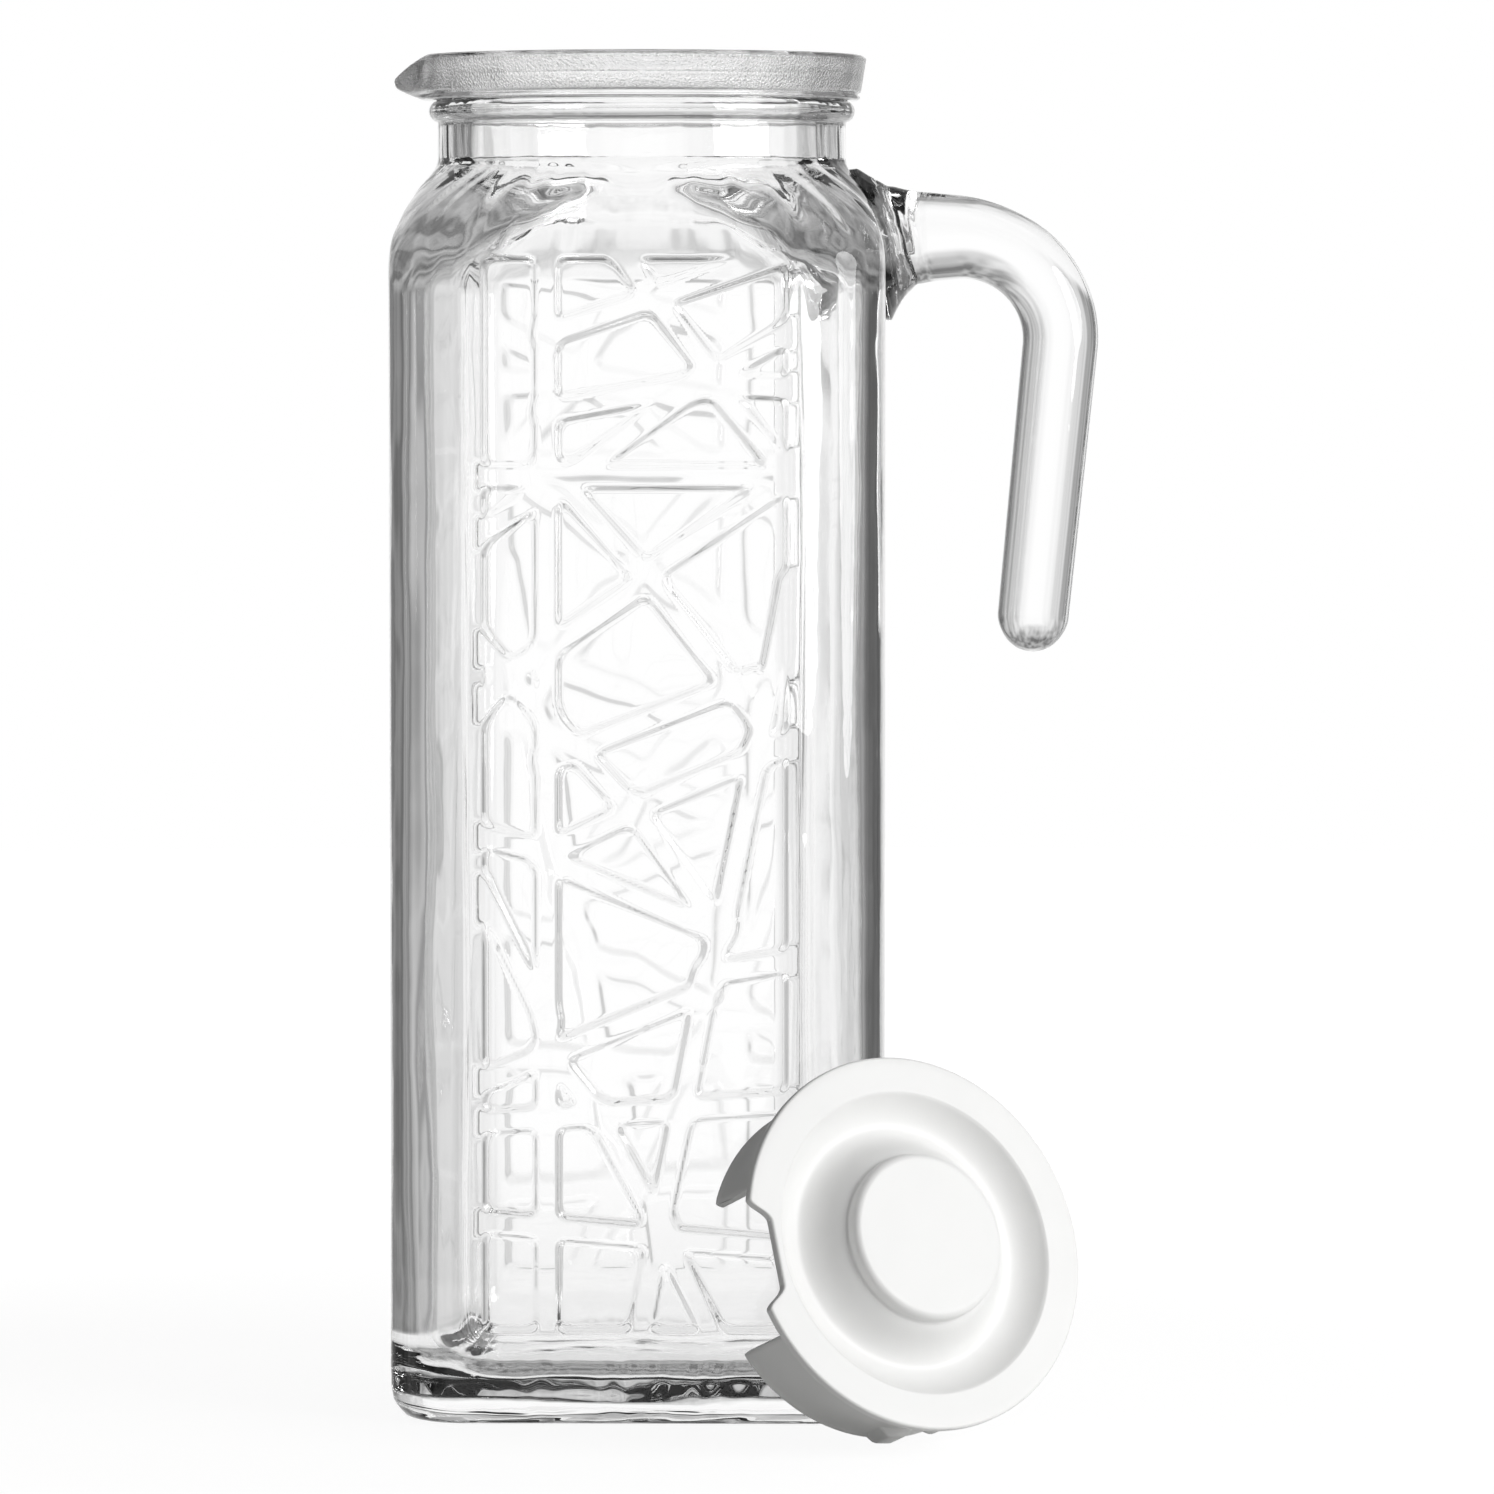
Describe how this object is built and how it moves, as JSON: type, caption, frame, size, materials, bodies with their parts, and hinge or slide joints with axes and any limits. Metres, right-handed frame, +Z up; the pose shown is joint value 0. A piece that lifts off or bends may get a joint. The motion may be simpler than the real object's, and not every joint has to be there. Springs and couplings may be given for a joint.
{
  "type": "pitcher",
  "caption": "Pressed glass pitcher with a square body, a round mouth with a pouring spout, a solid hook handle and a moulded lid that stands beside it.",
  "frame": {"origin": "middle of the square base, on the table", "axes": "+Z up through the neck, -X to the spout, +X to the handle, -Y to the side that the lid leans against and the picture faces"},
  "size_m": [0.1335, 0.1399, 0.255],
  "materials": {
    "clear_glass": "clear pressed soda-lime glass, fire-polished, with a shallow pattern of bands on its front and back and a fine stipple on the rim",
    "white_plastic": "injection moulded polyethylene, satin, natural white"
  },
  "bodies": {
    "jug": {"jug_body": "clear_glass", "handle": "clear_glass"},
    "lid": {"lid": "white_plastic"}
  },
  "joints": [
    {"name": "lid_lift", "type": "slide", "parent": "jug", "child": "lid", "axis": [0, 0, 1], "range_m": [0, 0.27]}
  ]
}
